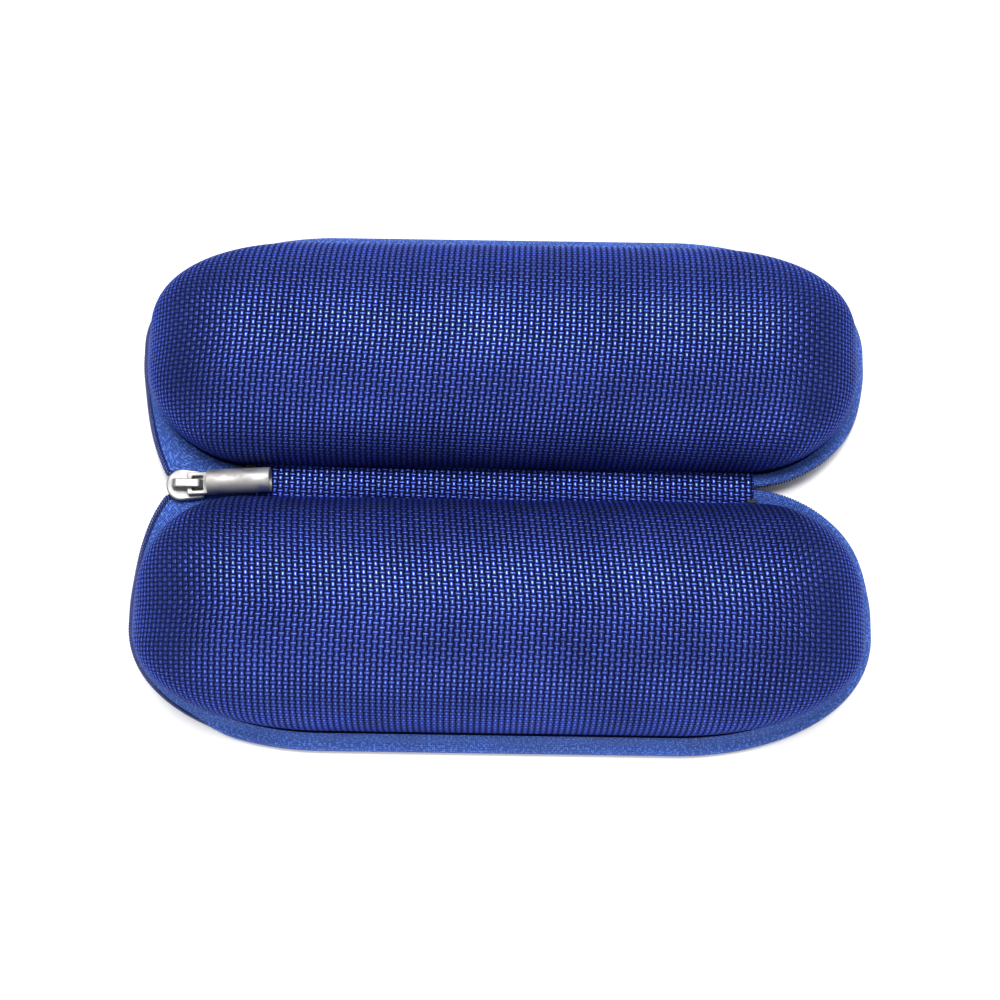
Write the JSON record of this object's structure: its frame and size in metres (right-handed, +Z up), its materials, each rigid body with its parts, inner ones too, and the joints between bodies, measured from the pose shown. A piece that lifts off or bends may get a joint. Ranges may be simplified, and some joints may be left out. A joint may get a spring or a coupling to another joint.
{
  "type": "eyeglasses case",
  "caption": "Zip-round moulded eyeglasses case in coarse woven fabric, opened out flat with both domed shells up, with fabric hinge, zip, slider and tubular pull.",
  "frame": {"origin": "under the middle of the hinge, on the surface that the opened case rests on", "axes": "+X along the hinge towards the zip's closed end, +Y towards the rear shell, +Z up, out of the domes"},
  "size_m": [0.1596, 0.1132, 0.0235],
  "materials": {
    "woven_shell": "coarse ballistic weave, silky",
    "zip_tape": "fine weave",
    "zip_coil": "polyester coil",
    "lining": "short knit",
    "foam": "closed-cell foam",
    "binding": "ribbed tape",
    "thread": "twisted thread",
    "black_thread": "twisted thread",
    "nickel": "satin nickel",
    "slider_nickel": "bright nickel"
  },
  "bodies": {
    "front_shell": {"front_edge_binding": "binding", "front_foam_shell": "foam", "front_lining": "lining", "front_outer_fabric": "woven_shell", "front_rim_stitching": "thread", "front_zip_coil": "zip_coil", "front_zip_tape": "zip_tape"},
    "hinge_strip": {"hinge_foam": "foam", "hinge_lining": "lining", "hinge_outer_fabric": "woven_shell", "left_bar_tack": "black_thread", "left_front_coil_end": "zip_coil", "left_front_tape_end": "zip_tape", "left_rear_coil_end": "zip_coil", "left_rear_tape_end": "zip_tape", "right_bar_tack": "black_thread", "right_front_coil_end": "zip_coil", "right_front_tape_end": "zip_tape", "right_rear_coil_end": "zip_coil", "right_rear_tape_end": "zip_tape"},
    "rear_shell": {"rear_edge_binding": "binding", "rear_foam_shell": "foam", "rear_lining": "lining", "rear_outer_fabric": "woven_shell", "rear_rim_stitching": "thread", "rear_zip_coil": "zip_coil", "rear_zip_tape": "zip_tape"},
    "slider": {"slider_bail": "slider_nickel", "slider_body": "slider_nickel"},
    "pull": {"pull_link": "nickel", "pull_tube": "nickel"}
  },
  "joints": [
    {"name": "front_fold", "type": "hinge", "parent": "front_shell", "child": "hinge_strip", "pos_m": [0, -0.0035, 0.0034], "axis": [-1, 0, 0], "range_deg": [0, 90]},
    {"name": "rear_fold", "type": "hinge", "parent": "hinge_strip", "child": "rear_shell", "pos_m": [0, 0.0035, 0.0034], "axis": [-1, 0, 0], "range_deg": [0, 90]},
    {"name": "slider_travel", "type": "slide", "parent": "hinge_strip", "child": "slider", "axis": [1, 0, 0], "range_m": [0, 0.003]},
    {"name": "pull_swing", "type": "hinge", "parent": "slider", "child": "pull", "pos_m": [-0.0669, -0.0012, 0.00645], "axis": [0.061, -0.9981, 0], "range_deg": [0, 120]}
  ],
  "couplings": [
    {"joint": "rear_fold", "follows": "front_fold", "ratio": 1}
  ]
}
